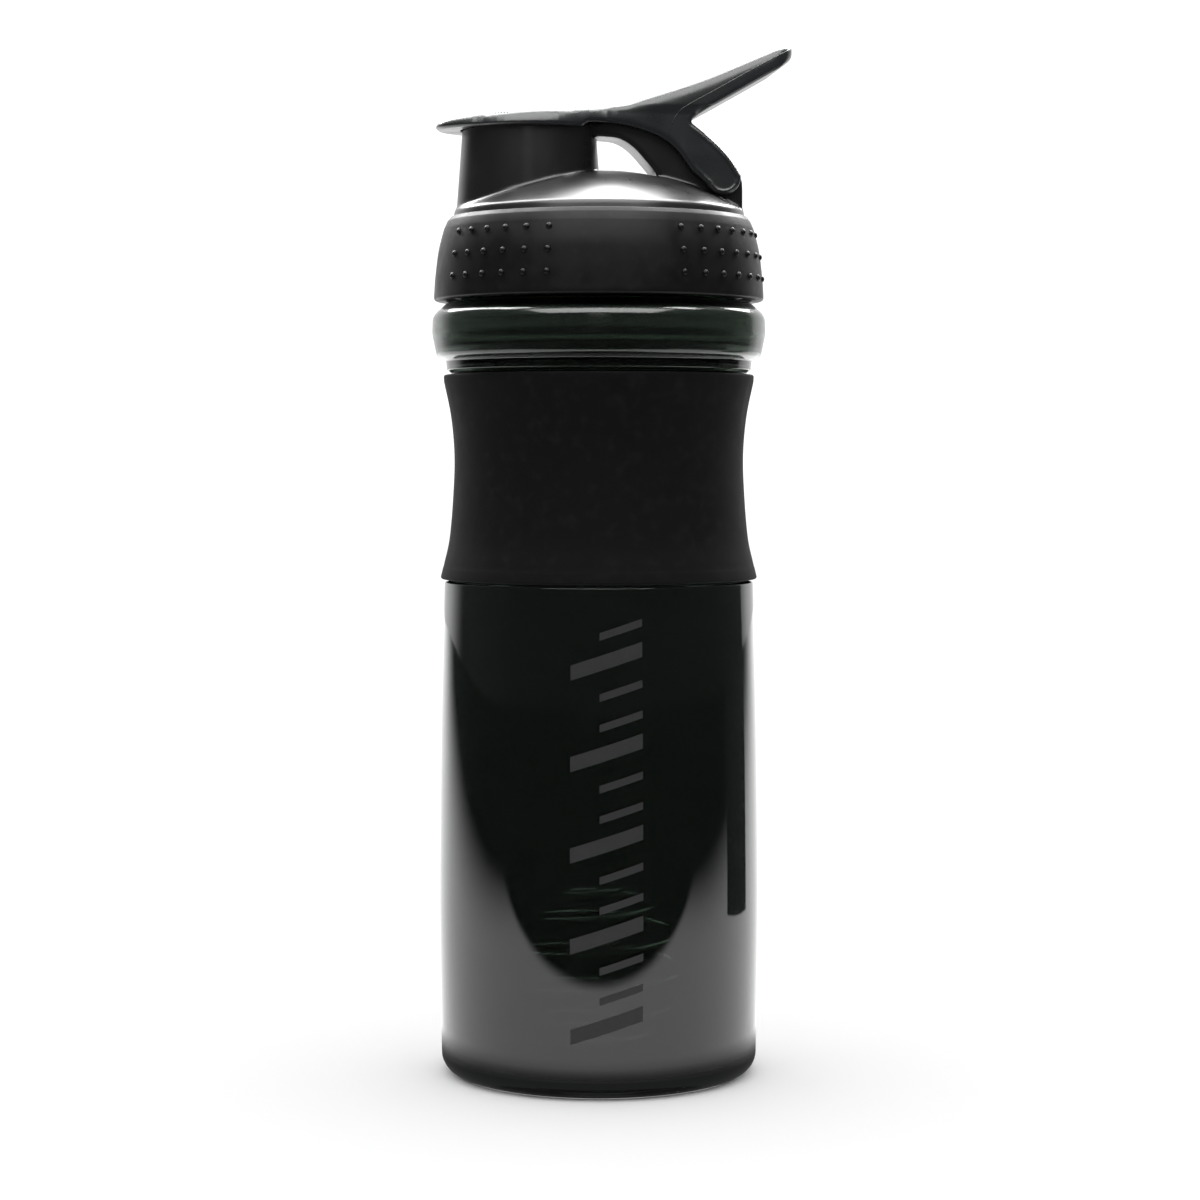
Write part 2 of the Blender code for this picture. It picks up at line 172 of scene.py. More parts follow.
def turned(name, profile, segments, axis_x=0.0, shape=None):
    """Turn a closed (radius, z) profile; shape(radii, angles, heights) may move the radii."""
    radii = np.array([p[0] for p in profile])
    heights = np.array([p[1] for p in profile])
    angles = np.arange(segments) * 2 * math.pi / segments
    grid = np.repeat(radii[:, None], segments, axis=1)
    if shape is not None:
        grid = shape(grid, angles[None, :], heights[:, None])
    verts = []
    index = []
    for k in range(len(profile)):
        if radii[k] < 1e-6:
            index.append([len(verts)] * segments)
            verts.append((axis_x, 0.0, heights[k]))
            continue
        index.append(list(range(len(verts), len(verts) + segments)))
        ring = np.stack((axis_x + grid[k] * np.cos(angles), grid[k] * np.sin(angles),
                         np.full(segments, heights[k])), axis=1)
        verts.extend(ring.tolist())
    rows = list(zip(index, index[1:]))
    if radii[0] > 1e-6:
        rows.append((index[-1], index[0]))
    faces = []
    for low, high in rows:
        for i in range(segments):
            j = (i + 1) % segments
            face = list(dict.fromkeys((low[i], low[j], high[j], high[i])))
            if len(face) > 2:
                faces.append(face)
    obj = make_object(name, verts, faces)
    bm = bmesh.new()
    bm.from_mesh(obj.data)
    bmesh.ops.recalc_face_normals(bm, faces=bm.faces)
    bm.to_mesh(obj.data)
    bm.free()
    return obj


def thread(angles, heights, first_z, from_turn, to_turn):
    """How far the two-start thread stands out, from 0 to 1, at each angle and height."""
    best = 0.0
    for start in range(THREAD_STARTS):
        for wrap in (-1, 0, 1, 2):
            turn = angles / (2 * math.pi) - start / THREAD_STARTS + wrap
            off = np.abs(heights - first_z - THREAD_LEAD * turn)
            ridge = np.clip((THREAD_BASE_HALF - off) / (THREAD_BASE_HALF - THREAD_CREST_HALF), 0, 1)
            ends = (np.clip((turn - from_turn) * THREAD_ENDS, 0, 1)
                    * np.clip((to_turn - turn) * THREAD_ENDS, 0, 1))
            best = np.maximum(best, ridge * ends)
    return best * best * (3 - 2 * best)


# --- solids from distance fields --------------------------------------------------------------
def union(a, b, soft):
    """Join two fields with a fillet."""
    h = np.clip(0.5 + 0.5 * (b - a) / soft, 0, 1)
    return b * (1 - h) + a * h - soft * h * (1 - h)


def both(a, b, soft):
    """What two fields share, with a rounded edge."""
    return -union(-a, -b, soft)


def outline_field(points, a, b):
    """Signed distance to a closed outline in a plane, negative inside."""
    best = np.full(np.broadcast(a, b).shape, 1e9)
    inside = np.zeros(best.shape, bool)
    for (ax, ay), (bx, by) in zip(points, points[1:] + points[:1]):
        ex, ey = bx - ax, by - ay
        length = ex * ex + ey * ey
        if length < 1e-12:
            continue
        t = np.clip(((a - ax) * ex + (b - ay) * ey) / length, 0, 1)
        best = np.minimum(best, (a - ax - ex * t) ** 2 + (b - ay - ey * t) ** 2)
        if by != ay:
            inside ^= ((ay <= b) != (by <= b)) & (a < ax + (b - ay) / (by - ay) * ex)
    return np.where(inside, -1, 1) * np.sqrt(best)


def net_faces(inside, number):
    """Quads of a surface net: one for each grid edge that crosses the surface."""
    faces = []
    for axis in range(3):
        others = [k for k in range(3) if k != axis]
        first = [slice(None)] * 3
        second = [slice(None)] * 3
        first[axis], second[axis] = slice(None, -1), slice(1, None)
        a, b = inside[tuple(first)], inside[tuple(second)]
        at = np.argwhere(a != b)
        ok = np.all([(at[:, k] > 0) & (at[:, k] < number.shape[k]) for k in others], axis=0)
        at = at[ok]
        out = a[tuple(at.T)]
        corners = []
        for du, dv in ((-1, -1), (0, -1), (0, 0), (-1, 0)):
            cell = at.copy()
            cell[:, others[0]] += du
            cell[:, others[1]] += dv
            corners.append(number[tuple(cell.T)])
        quad = np.stack(corners, axis=1)
        flip = ~out if axis != 1 else out
        quad[flip] = quad[flip][:, ::-1]
        faces.append(quad)
    return np.concatenate(faces)


def field_solid(name, field, low, high, step):
    """Mesh the surface where field(x, y, z) is zero, then pull each point onto it."""
    axes = [np.arange(a - 1.5 * step, b + 2.5 * step, step) for a, b in zip(low, high)]
    values = field(axes[0][:, None, None], axes[1][None, :, None], axes[2][None, None, :])
    inside = values < 0
    shape = tuple(n - 1 for n in inside.shape)
    total = np.zeros(shape + (3,))
    count = np.zeros(shape)
    for axis in range(3):
        others = [k for k in range(3) if k != axis]
        first, second = [slice(None)] * 3, [slice(None)] * 3
        first[axis], second[axis] = slice(None, -1), slice(1, None)
        a, b = values[tuple(first)], values[tuple(second)]
        crossing = (a < 0) != (b < 0)
        along = np.where(crossing, a / np.where(crossing, a - b, 1.0), 0.0)
        for du in (0, 1):
            for dv in (0, 1):
                part = [slice(None)] * 3
                part[others[0]] = slice(du, du + shape[others[0]])
                part[others[1]] = slice(dv, dv + shape[others[1]])
                hit = crossing[tuple(part)]
                count += hit
                total[..., axis] += np.where(hit, along[tuple(part)], 0)
                total[..., others[0]] += hit * du
                total[..., others[1]] += hit * dv
    cells = np.argwhere(count > 0)
    number = np.full(shape, -1)
    number[tuple(cells.T)] = np.arange(len(cells))
    points = total[tuple(cells.T)] / count[tuple(cells.T)][:, None] + cells
    points = points * step + np.array([a[0] for a in axes])
    faces = net_faces(inside, number)
    nudge, pulls = 0.02, 4
    starts, ends = faces.ravel(), np.roll(faces, -1, axis=1).ravel()
    share = np.maximum(np.bincount(starts, minlength=len(points)), 1)
    for turn in range(pulls):
        if turn < pulls - 1:      # even the net out before every pull but the last
            around = [np.bincount(starts, points[ends, k], len(points)) / share for k in range(3)]
            points = 0.5 * points + 0.5 * np.stack(around, axis=1)
        here = field(*points.T)
        slope = np.stack([field(*(points + nudge * axis).T) - field(*(points - nudge * axis).T)
                          for axis in np.eye(3)], axis=1) / (2 * nudge)
        size = np.maximum((slope ** 2).sum(axis=1), 0.25)
        move = slope * (here / size)[:, None]
        reach = np.linalg.norm(move, axis=1)
        move *= np.minimum(1, 0.4 * step / np.maximum(reach, 1e-9))[:, None]
        points -= move
    return make_object(name, points, faces.tolist(), 75.0)


# --- the pieces --------------------------------------------------------------------------------
def sleeve_outer():
    """Outer face of the sleeve, bottom to top."""
    return spline([(38.4, 126.0), (36.9, 133.0), (35.96, 144.2), (35.7, 153.5), (36.5, 162.8),
                   (38.2, 171.3)])


def body_side():
    """Outer face of the lower body, from the foot up to the sleeve."""
    return spline([(39.2, 8.0), (39.4, 17.7), (39.73, 40.0), (39.6, 61.0), (39.2, 87.1),
                   (38.64, 107.0), (38.2, 121.2)])


SWAY_DEPTH = 0.55          # how far the bulge's upper edge sways in and out
SWAY_Z = 188.6
SWAY_HEIGHT = 1.6
SWAY_WAVES = 3


def make_bottle():
    """The smoke body: foot, lower body, waist, bulge, threaded neck and bore."""
    foot = rounded([(0.0, 0.0, 0), (6.0, 0.0, 0.6), (7.5, 1.0, 0.6), (26.0, 1.0, 0.6),
                    (27.5, 0.0, 0.6), (39.1, 0.0, 5.0), (39.2, 8.0, 0)], 8)
    side = body_side()[1:]
    step_in = rounded([(38.2, 121.2, 0), (38.15, 122.0, 0.4), (37.1, 122.3, 0.3),
                       (36.6, 124.0, 0)])[1:-1]
    inset = SLEEVE_WALL + GAP
    waist = [(r - inset, z) for r, z in sleeve_outer()]
    groove = rounded([(36.2, 171.6, 0), (36.5, 173.5, 0.4), (37.5, 174.1, 0.6), (37.7, 176.4, 0.6),
                      (40.0, 177.6, 1.6), (41.1, 183.0, 8.0), (41.0, 187.6, 3.2),
                      (37.6, 190.5, 1.2), (NECK_R, NECK_FOOT_Z - 0.2, 0.6), (NECK_R, 193.5, 0)], 8)
    neck = [(NECK_R, z) for z in np.arange(193.6, 207.9, 0.2)]
    rim = rounded([(NECK_R, 207.9, 0), (NECK_R, NECK_TOP_Z, 0.4), (NECK_BORE_R, NECK_TOP_Z, 0.4),
                   (NECK_BORE_R, 194.0, 2.0), (34.6, 190.4, 2.0), (38.8, 187.6, 2.5),
                   (39.2, 181.0, 3.0), (36.3, 176.0, 2.0), (34.6, 171.3, 0)], 8)
    bore = [(r - (inset + WALL), z) for r, z in reversed(sleeve_outer())][1:-1]
    inside = spline([(34.6, 126.0), (36.3, 119.9), (37.3, 87.0), (37.83, 40.0), (37.5, 17.7),
                     (37.1, 11.0)])
    floor = rounded([(37.1, 11.0, 0), (36.9, FLOOR_Z, 4.5), (0.0, FLOOR_Z, 0)], 8)[1:]

    def shape(grid, angles, heights):
        outer = (grid > NECK_R - 0.05) & (heights > 193.5) & (heights < 208.0)
        ridge = thread(angles, heights, NECK_THREAD_Z, 0.0, 1.0) * (NECK_CREST_R - NECK_R)
        shoulder = np.exp(-((heights - SWAY_Z) / SWAY_HEIGHT) ** 2) * (grid > 37.5)
        sway = 0.5 + 0.5 * np.sin(SWAY_WAVES * angles + 0.4)
        return grid + np.where(outer, ridge, 0.0) - SWAY_DEPTH * shoulder * sway

    profile = foot + side + step_in + waist + groove + neck + rim + bore + inside + floor
    return turned("bottle_body_fine", profile, 224, shape=shape)


def make_sleeve():
    """The soft sleeve with its flared lower lip and rounded edges."""
    lip = rounded([(37.6, 124.0, 0), (37.55, 122.75, 0.25), (39.25, 122.75, 0.5),
                   (38.6, 125.4, 2.0), (38.4, 126.0, 0)])
    top = rounded([(38.2, 171.3, 0), (38.3, SLEEVE_TOP_Z, 0.5), (36.9, SLEEVE_TOP_Z, 0.4),
                   (36.55, 171.3, 0)])
    inner = [(r - SLEEVE_WALL, z) for r, z in reversed(sleeve_outer())]
    return turned("grip_sleeve_fine", lip + sleeve_outer()[1:-1] + top + inner[1:], 192)


def band_outer():
    """Outer face of the grip band, bottom to top."""
    return spline([(40.6, 192.4), (40.35, 196.3), (39.8, 201.2), (39.4, 203.7), (38.8, 206.2),
                   (38.1, 208.7)])


def make_band():
    """The soft band round the lid's skirt."""
    bottom = rounded([(37.5, 193.0, 0), (37.5, BAND_BOTTOM_Z, 0.3), (40.6, BAND_BOTTOM_Z, 0.7),
                      (40.6, 192.4, 0)])
    top = rounded([(38.1, 208.7, 0), (37.3, 210.5, 1.2), (36.5, BAND_TOP_Z, 0.25),
                   (36.1, BAND_TOP_Z, 0.1), (36.3, 210.4, 0.2), (36.8, 208.4, 0.2),
                   (37.5, 205.7, 0)])
    return turned("grip_band_fine", bottom + band_outer()[1:-1] + top, 224)


DOT_ROWS_Z = (207.0, 201.6, 196.3)
DOT_FIRST = 23.8          # degrees from the front to the first column, on either side
DOT_PITCH = 8.6
DOT_R = 0.8
DOT_RISE = 0.6


def make_dots():
    """Three rows of raised dots: seven columns right of the front, six left, and again behind."""
    right = [DOT_FIRST + k * DOT_PITCH for k in range(7)]
    left = [-DOT_FIRST - k * DOT_PITCH for k in range(6)]
    columns = [math.radians(turn + a) for turn in (-90.0, 90.0) for a in right + left]
    outer = band_outer()
    zs = [p[1] for p in outer]
    rs = [p[0] for p in outer]
    verts, faces = [], []
    around, rings = 20, 10
    for z in DOT_ROWS_Z:
        radius = float(np.interp(z, zs, rs))
        lean = math.atan2(float(np.interp(z - 0.5, zs, rs) - np.interp(z + 0.5, zs, rs)), 1.0)
        for angle in columns:
            out = np.array((math.cos(angle) * math.cos(lean), math.sin(angle) * math.cos(lean),
                            math.sin(lean)))
            across = np.array((-math.sin(angle), math.cos(angle), 0.0))
            up = np.cross(out, across)
            centre = np.array((radius * math.cos(angle), radius * math.sin(angle), z))
            first = len(verts)
            for i in range(1, rings):
                polar = math.pi * i / rings
                for k in range(around):
                    turn = 2 * math.pi * k / around
                    spot = (across * math.cos(turn) + up * math.sin(turn)) * DOT_R * math.sin(polar)
                    verts.append(centre + spot + out * DOT_RISE * math.cos(polar))
            verts.append(centre + out * DOT_RISE)
            verts.append(centre - out * DOT_RISE)
            for i in range(rings - 2):
                for k in range(around):
                    a, b = first + i * around + k, first + i * around + (k + 1) % around
                    faces.append((a, a + around, b + around, b))
            last = first + (rings - 2) * around
            for k in range(around):
                faces.append((len(verts) - 2, first + k, first + (k + 1) % around))
                faces.append((len(verts) - 1, last + (k + 1) % around, last + k))
    return make_object("grip_band_dots", verts, faces, 60.0)


LOOP_OUTLINE = (
    [(-4.6, 230.9), (-4.6, 234.0)]
    + spline([(-1.6, 234.2), (2.0, 235.7), (6.0, 236.4), (10.0, 236.6), (15.0, 236.2),
              (18.5, 235.4), (21.0, 234.4), (24.9, 232.3), (28.4, 229.6), (30.9, 227.1),
              (32.8, 224.6), (34.1, 222.4), (34.8, 220.2)], 5)
    + [(34.9, 218.0), (34.9, 212.4), (14.8, 215.0), (14.5, 220.9)]
    + spline([(14.5, 220.9), (11.1, 225.0), (7.8, 228.5), (4.4, 230.5), (0.5, 231.0)], 5)[1:])
SKIRT_TAPER = (205.5, 7.1, 1.65, 7.289)      # from this height, so far up, so far in, its length
BORE_TAPER = (207.0, 2.0, 1.3, 2.385)


def slanted(r, z, start_r, taper):
    """Distance to a cone that narrows upward from start_r, positive outside."""
    start_z, rise, run, length = taper
    return ((r - start_r) * rise + (z - start_z) * run) / length


def lid_field(x, y, z):
    """The lid moulding: skirt, dome, spout and loop, less its inside and bores."""
    r = np.sqrt(x * x + y * y)
    dome = np.sqrt(r * r + (z - DOME_CENTRE_Z) ** 2) - DOME_R
    taper = slanted(r, z, SKIRT_R, SKIRT_TAPER)
    outer = both(both(dome, taper, 0.5), both(r - SKIRT_R, SKIRT_BOTTOM_Z - z, 0.5), 0.3)
    rs = np.sqrt((x - SPOUT_X) ** 2 + y * y)
    draft = (SPOUT_FOOT_R - SPOUT_TOP_R) / (SPOUT_TOP_Z - SPOUT_FOOT_Z)
    spout_r = SPOUT_TOP_R + (SPOUT_TOP_Z - z) * draft
    spout = both(both(rs - spout_r, z - SPOUT_TOP_Z, 1.0), SPOUT_FOOT_Z - z, 0.3)
    outer = union(outer, spout, 0.9)
    edge = 1.1
    side = outline_field(LOOP_OUTLINE, x, z) + edge
    wide = np.abs(y) - LOOP_HALF_WIDTH + edge
    loop = (np.sqrt(np.maximum(side, 0) ** 2 + np.maximum(wide, 0) ** 2)
            + np.minimum(np.maximum(side, wide), 0) - edge)
    outer = union(outer, loop, 0.9)
    room = both(np.sqrt(r * r + (z - DOME_CENTRE_Z) ** 2) - (DOME_R - DOME_WALL),
                r - PLUG_LIP_BORE_R, 0.4)
    angles = np.arctan2(y, x) % (2 * math.pi)
    near = (r > 33.0) & (z < 206.0) & (z > 192.0)
    ridge = np.where(near, thread(angles, z, LID_THREAD_Z, 0.1, 0.9), 0.0)
    wall = r - SKIRT_BORE_R + ridge * (SKIRT_BORE_R - LID_CREST_R)
    below = both(wall, z - PLUG_LIP_Z, 0.2)
    slope = slanted(r, z, SKIRT_BORE_R, BORE_TAPER)
    channel = np.maximum(np.maximum(PLUG_LIP_R - r, z - LAND_Z),
                         np.minimum(np.maximum(wall, slope), r - LAND_R))
    bore_r = spout_r - SPOUT_WALL
    bore = np.maximum(rs - bore_r, SPOUT_FOOT_Z - z)
    cavity = np.minimum(np.minimum(room, bore), np.minimum(below, channel))
    solid = both(outer, -cavity, 0.5)
    socket = np.sqrt((x - HINGE_X) ** 2 + (z - HINGE_Z) ** 2) - TRUNNION_BORE_R
    return both(solid, -np.maximum(socket, TRUNNION_BORE_END_Y - np.abs(y)), 0.2)


CAP_TOP = spline([(-42.0, 233.2), (-40.3, 234.3), (-38.0, 235.4), (-31.2, 237.0), (-24.5, 237.7),
                  (-14.4, 238.5), (0.3, 239.1), (5.6, 239.6), (10.0, 241.1), (20.1, 244.5),
                  (27.8, 247.4), (34.6, 250.3), (42.0, 253.3), (45.6, 254.1), (50.0, 254.2)], 5)
CAP_SIDE = (
    [p for p in CAP_TOP if p[0] < 46.0]
    + rounded([(46.0, 254.1, 0), (47.9, 253.9, 1.6), (47.8, 250.9, 1.8), (43.3, 247.5, 0)], 5)[1:]
    + spline([(43.3, 247.5), (37.9, 244.4), (32.6, 241.4), (27.3, 238.4), (23.6, 236.3)], 4)[1:]
    + rounded([(23.6, 236.3, 0), (21.4, 234.6, 0.7), (25.2, 231.9, 0)], 4)[1:-1]
    + spline([(25.2, 231.7), (28.4, 229.0), (30.9, 226.4), (32.6, 224.0), (33.6, 222.4)], 4)
    + [(HINGE_X + ARM_END_R * math.cos(math.radians(a)),
        HINGE_Z + ARM_END_R * math.sin(math.radians(a))) for a in range(5, -160, -10)]
    + spline([(21.8, 222.8), (18.6, 227.2), (15.4, 230.0), (11.1, 232.0), (4.4, 233.7),
              (-3.0, 234.0), (-5.5, 232.7)], 5)
    + [(-8.0, CAP_RIM_Z), (-38.5, 232.5), (-41.0, 232.9)])
HALF_PLAN = (
    spline([(CAP_TIP_X, 0.0), (-39.9, 3.2), (-38.4, 6.4), (-35.3, 10.0), (-31.5, 12.9)], 5)[:-1]
    + [(SPOUT_X + CAP_DISC_R * math.cos(math.radians(a)), CAP_DISC_R * math.sin(math.radians(a)))
       for a in range(132, 47, -6)]
    + spline([(-3.2, 12.4), (0.5, 10.7), (5.0, 9.8), (12.0, 9.7), (20.0, 9.9), (28.0, 11.2),
              (38.0, 12.0), (43.6, 11.0), (46.4, 7.8), (TAB_END_X, 3.2), (TAB_END_X, 0.0)], 5))
CAP_PLAN = HALF_PLAN + [(x, -y) for x, y in reversed(HALF_PLAN[1:-1])]
WEB_UNDER = (
    [(-60.0, 200.0), (-60.0, CAP_SEAT_Z), (-0.9, CAP_SEAT_Z)]
    + spline([(1.7, 236.2), (5.8, 236.9), (10.0, 237.05), (15.1, 236.7), (18.7, 235.9),
              (21.4, 235.0)], 4)
    + [(23.0, 235.6), (60.0, 235.6), (60.0, 200.0)])
CAP_CROWN = 0.0062         # how far the top falls away, per square of the distance aside
TAB_ROUNDER = 0.6          # how much more it does so on the tab, which begins between these
TAB_FROM_X = 8.0
TAB_FULL_X = 20.0
ARMS_TOP_Z = 238.5         # below here and beyond this x the cap narrows to its arms
ARMS_FROM_X = 1.0
RIB = 0.28                 # how far the arms' faces are set in behind their rims
SHOULDER_X = (-41.0, -31.0, 0.0, 20.0, 40.0, 47.0)
SHOULDER_R = (2.0, 4.5, 4.5, 4.2, 3.2, 1.6)      # how round the top's edge is at those places


def cap_field(x, y, z):
    """The flip cap: cover, web, arms and tab, less the room for spout, loop and plug stud."""
    side = outline_field(CAP_SIDE, x, z)
    plan = outline_field(CAP_PLAN, x, y)
    top = np.interp(x, [p[0] for p in CAP_TOP], [p[1] for p in CAP_TOP])
    rounder = 1.0 + TAB_ROUNDER * np.clip((x - TAB_FROM_X) / (TAB_FULL_X - TAB_FROM_X), 0, 1)
    crown = (z + CAP_CROWN * rounder * y * y - top) * 0.97
    shoulder = np.interp(x, SHOULDER_X, SHOULDER_R)
    solid = np.maximum(both(side, plan, 1.4), both(plan, crown, shoulder))
    low = np.clip((ARMS_TOP_Z - z) / 2.0, 0, 1) * np.clip((x - ARMS_FROM_X) / 3.0, 0, 1)
    inset = np.clip((-side - 0.9) / 0.5, 0, 1)
    inset = inset * inset * (3 - 2 * inset) * RIB * low
    narrow = both(solid, np.abs(y) - ARM_OUTER_Y, 1.5)
    narrow = np.maximum(narrow, np.abs(y) - ARM_OUTER_Y + inset)
    solid = solid * (1 - low) + narrow * low
    rs = np.sqrt((x - SPOUT_X) ** 2 + y * y)
    seat = both(rs - (CAP_DISC_R - CAP_RIM_WALL), z - CAP_SEAT_Z, 0.6)
    slot = both(np.abs(y) - ARM_INNER_Y, outline_field(WEB_UNDER, x, z), 0.4)
    slot = np.maximum(slot, -8.0 - x)
    stud = np.maximum(rs - STUD_R - GAP, z - STUD_TOP_Z - GAP)
    solid = both(solid, -np.minimum(np.minimum(seat, slot), stud), 0.4)
    pin = np.sqrt((x - HINGE_X) ** 2 + (z - HINGE_Z) ** 2) - TRUNNION_R
    pin = np.maximum(np.maximum(pin, TRUNNION_END_Y - np.abs(y)), np.abs(y) - TRUNNION_ROOT_Y)
    return np.minimum(solid, pin)


PARTING_PATH = [(15.6, 230.6), (16.8, 233.6), (18.05, 236.0), (20.0, 238.0), (27.3, 242.0),
                (37.0, 247.4), (46.6, 252.6)]
PARTING_R = 0.14


def make_parting():
    """The fine raised parting line down both sides of the tab and the arch."""
    path = spline(PARTING_PATH, 9)
    reach = np.linspace(14.0, 0.0, 561)      # searched inward from beside the cap
    sides = 8
    verts, faces = [], []
    for side in (-1.0, 1.0):
        line = []
        for x, z in path:
            field = cap_field(np.full(reach.shape, x), reach, np.full(reach.shape, z))
            line.append(np.array((x, side * reach[np.argmax(field < 0)], z)))
        first = len(verts)
        for i, spot in enumerate(line):
            run = line[min(i + 1, len(line) - 1)] - line[max(i - 1, 0)]
            up = np.cross(run, (0.0, 1.0, 0.0))
            up /= np.linalg.norm(up)
            for k in range(sides):
                turn = 2 * math.pi * k / sides
                aside = np.array((0, PARTING_R * math.sin(turn), 0))
                verts.append(spot + up * PARTING_R * math.cos(turn) + aside)
        for i in range(len(line) - 1):
            for k in range(sides):
                a, b = first + i * sides + k, first + i * sides + (k + 1) % sides
                faces.append((a, b, b + sides, a + sides))
        last = first + (len(line) - 1) * sides
        faces.append(tuple(first + k for k in reversed(range(sides))))
        faces.append(tuple(last + k for k in range(sides)))
    return make_object("cap_parting_line", verts, faces, 60.0)


def make_plug():
    """The tapered seal and the stud that holds it in the cover."""
    top = CAP_SEAT_Z - GAP
    profile = rounded([(0.0, PLUG_END_Z, 0), (PLUG_END_R, PLUG_END_Z, 1.4),
                       (PLUG_TOP_R, top - 0.7, 0.5), (PLUG_TOP_R - 0.2, top, 0.3),
                       (STUD_R, top, 0.3), (STUD_R, STUD_TOP_Z, 0.4), (0.0, STUD_TOP_Z, 0)])
    return turned("spout_plug_fine", profile, 96, SPOUT_X)


def make_gasket():
    """The sealing ring, with a rounded section."""
    low, high = NECK_TOP_Z + GAP, LAND_Z - GAP
    seam = 33.0
    section = ((GASKET_OUT_R, low), (GASKET_OUT_R, high), (GASKET_IN_R, high), (GASKET_IN_R, low))
    profile = rounded([(seam, low, 0)] + [(r, z, GASKET_SOFT) for r, z in section]
                      + [(seam, low, 0)])[:-1]
    return turned("lid_gasket_fine", profile, 160)


def make_whisk():
    """The whisk ball: one wire in a spherical spiral, its ends tucked in at the poles."""
    steps = BALL_TURNS * 64
    curve = bpy.data.curves.new("whisk_ball_fine", "CURVE")
    curve.dimensions = "3D"
    curve.bevel_depth = WIRE_R * MM
    curve.bevel_resolution = 6
    curve.use_fill_caps = True
    line = curve.splines.new("POLY")
    line.points.add(steps)
    for i in range(steps + 1):
        polar = BALL_POLE_ANGLE + (math.pi - 2 * BALL_POLE_ANGLE) * i / steps
        turn = 2 * math.pi * BALL_TURNS * i / steps
        reach = BALL_R - WIRE_R
        spot = (reach * math.sin(polar) * math.cos(turn), reach * math.sin(polar) * math.sin(turn),
                FLOOR_Z + GAP + BALL_R - reach * math.cos(polar))
        line.points[i].co = (*(v * MM for v in spot), 1.0)
    obj = bpy.data.objects.new("whisk_ball_fine", curve)
    bpy.context.collection.objects.link(obj)
    return obj


PRINT_FACING = math.radians(-96.3)
PRINT_ARC_R = 39.5         # the radius that turns arc lengths into angles
PRINT_CELL = 0.8
PRINT_LAYERS = (0.06, -0.10)      # the ink's outer and inner face, from the body's surface
PRINT_BARS = 14
PRINT_FIRST_Z = 16.0
PRINT_PITCH = 7.2
PRINT_RIGHT = 10.6
PRINT_LEAN = 0.32


def printed_bar(verts, faces, low, high, left, right):
    """One slanted bar of ink on the body, from low to high and left to right (arc lengths)."""
    across = max(2, int((right - left) / PRINT_CELL))
    along = max(1, int((high - low) / PRINT_CELL))
    line = body_side()
    zs, rs = [p[1] for p in line], [p[0] for p in line]
    first = len(verts)
    for layer in PRINT_LAYERS:
        for j in range(along + 1):
            for i in range(across + 1):
                u = left + (right - left) * i / across
                z = low + (high - low) * j / along + PRINT_LEAN * u
                r = float(np.interp(z, zs, rs)) + layer
                angle = PRINT_FACING + u / PRINT_ARC_R
                verts.append((r * math.cos(angle), r * math.sin(angle), z))
    size = (across + 1) * (along + 1)
    row = across + 1
    for j in range(along):
        for i in range(across):
            a = first + j * row + i
            faces.append((a, a + 1, a + row + 1, a + row))
            faces.append((a + size, a + size + row, a + size + row + 1, a + size + 1))
    edge = [(j * row, (j + 1) * row) for j in range(along)][::-1]
    border = [(i, i + 1) for i in range(across)]
    border += [(j * row + across, (j + 1) * row + across) for j in range(along)]
    border += [(along * row + i + 1, along * row + i) for i in reversed(range(across))]
    border += [(b, a) for a, b in edge]
    for a, b in border:
        faces.append((first + b, first + a, first + a + size, first + b + size))


def make_print():
    """A generic level scale: slanted bars up the body, every third one long and thick."""
    verts, faces = [], []
    for k in range(PRINT_BARS):
        low = PRINT_FIRST_Z + k * PRINT_PITCH
        width, height = (17.4, 3.6) if k % 3 == 0 else (10.4, 1.8)
        printed_bar(verts, faces, low, low + height, PRINT_RIGHT - width, PRINT_RIGHT)
    return make_object("level_print", verts, faces, 30.0)


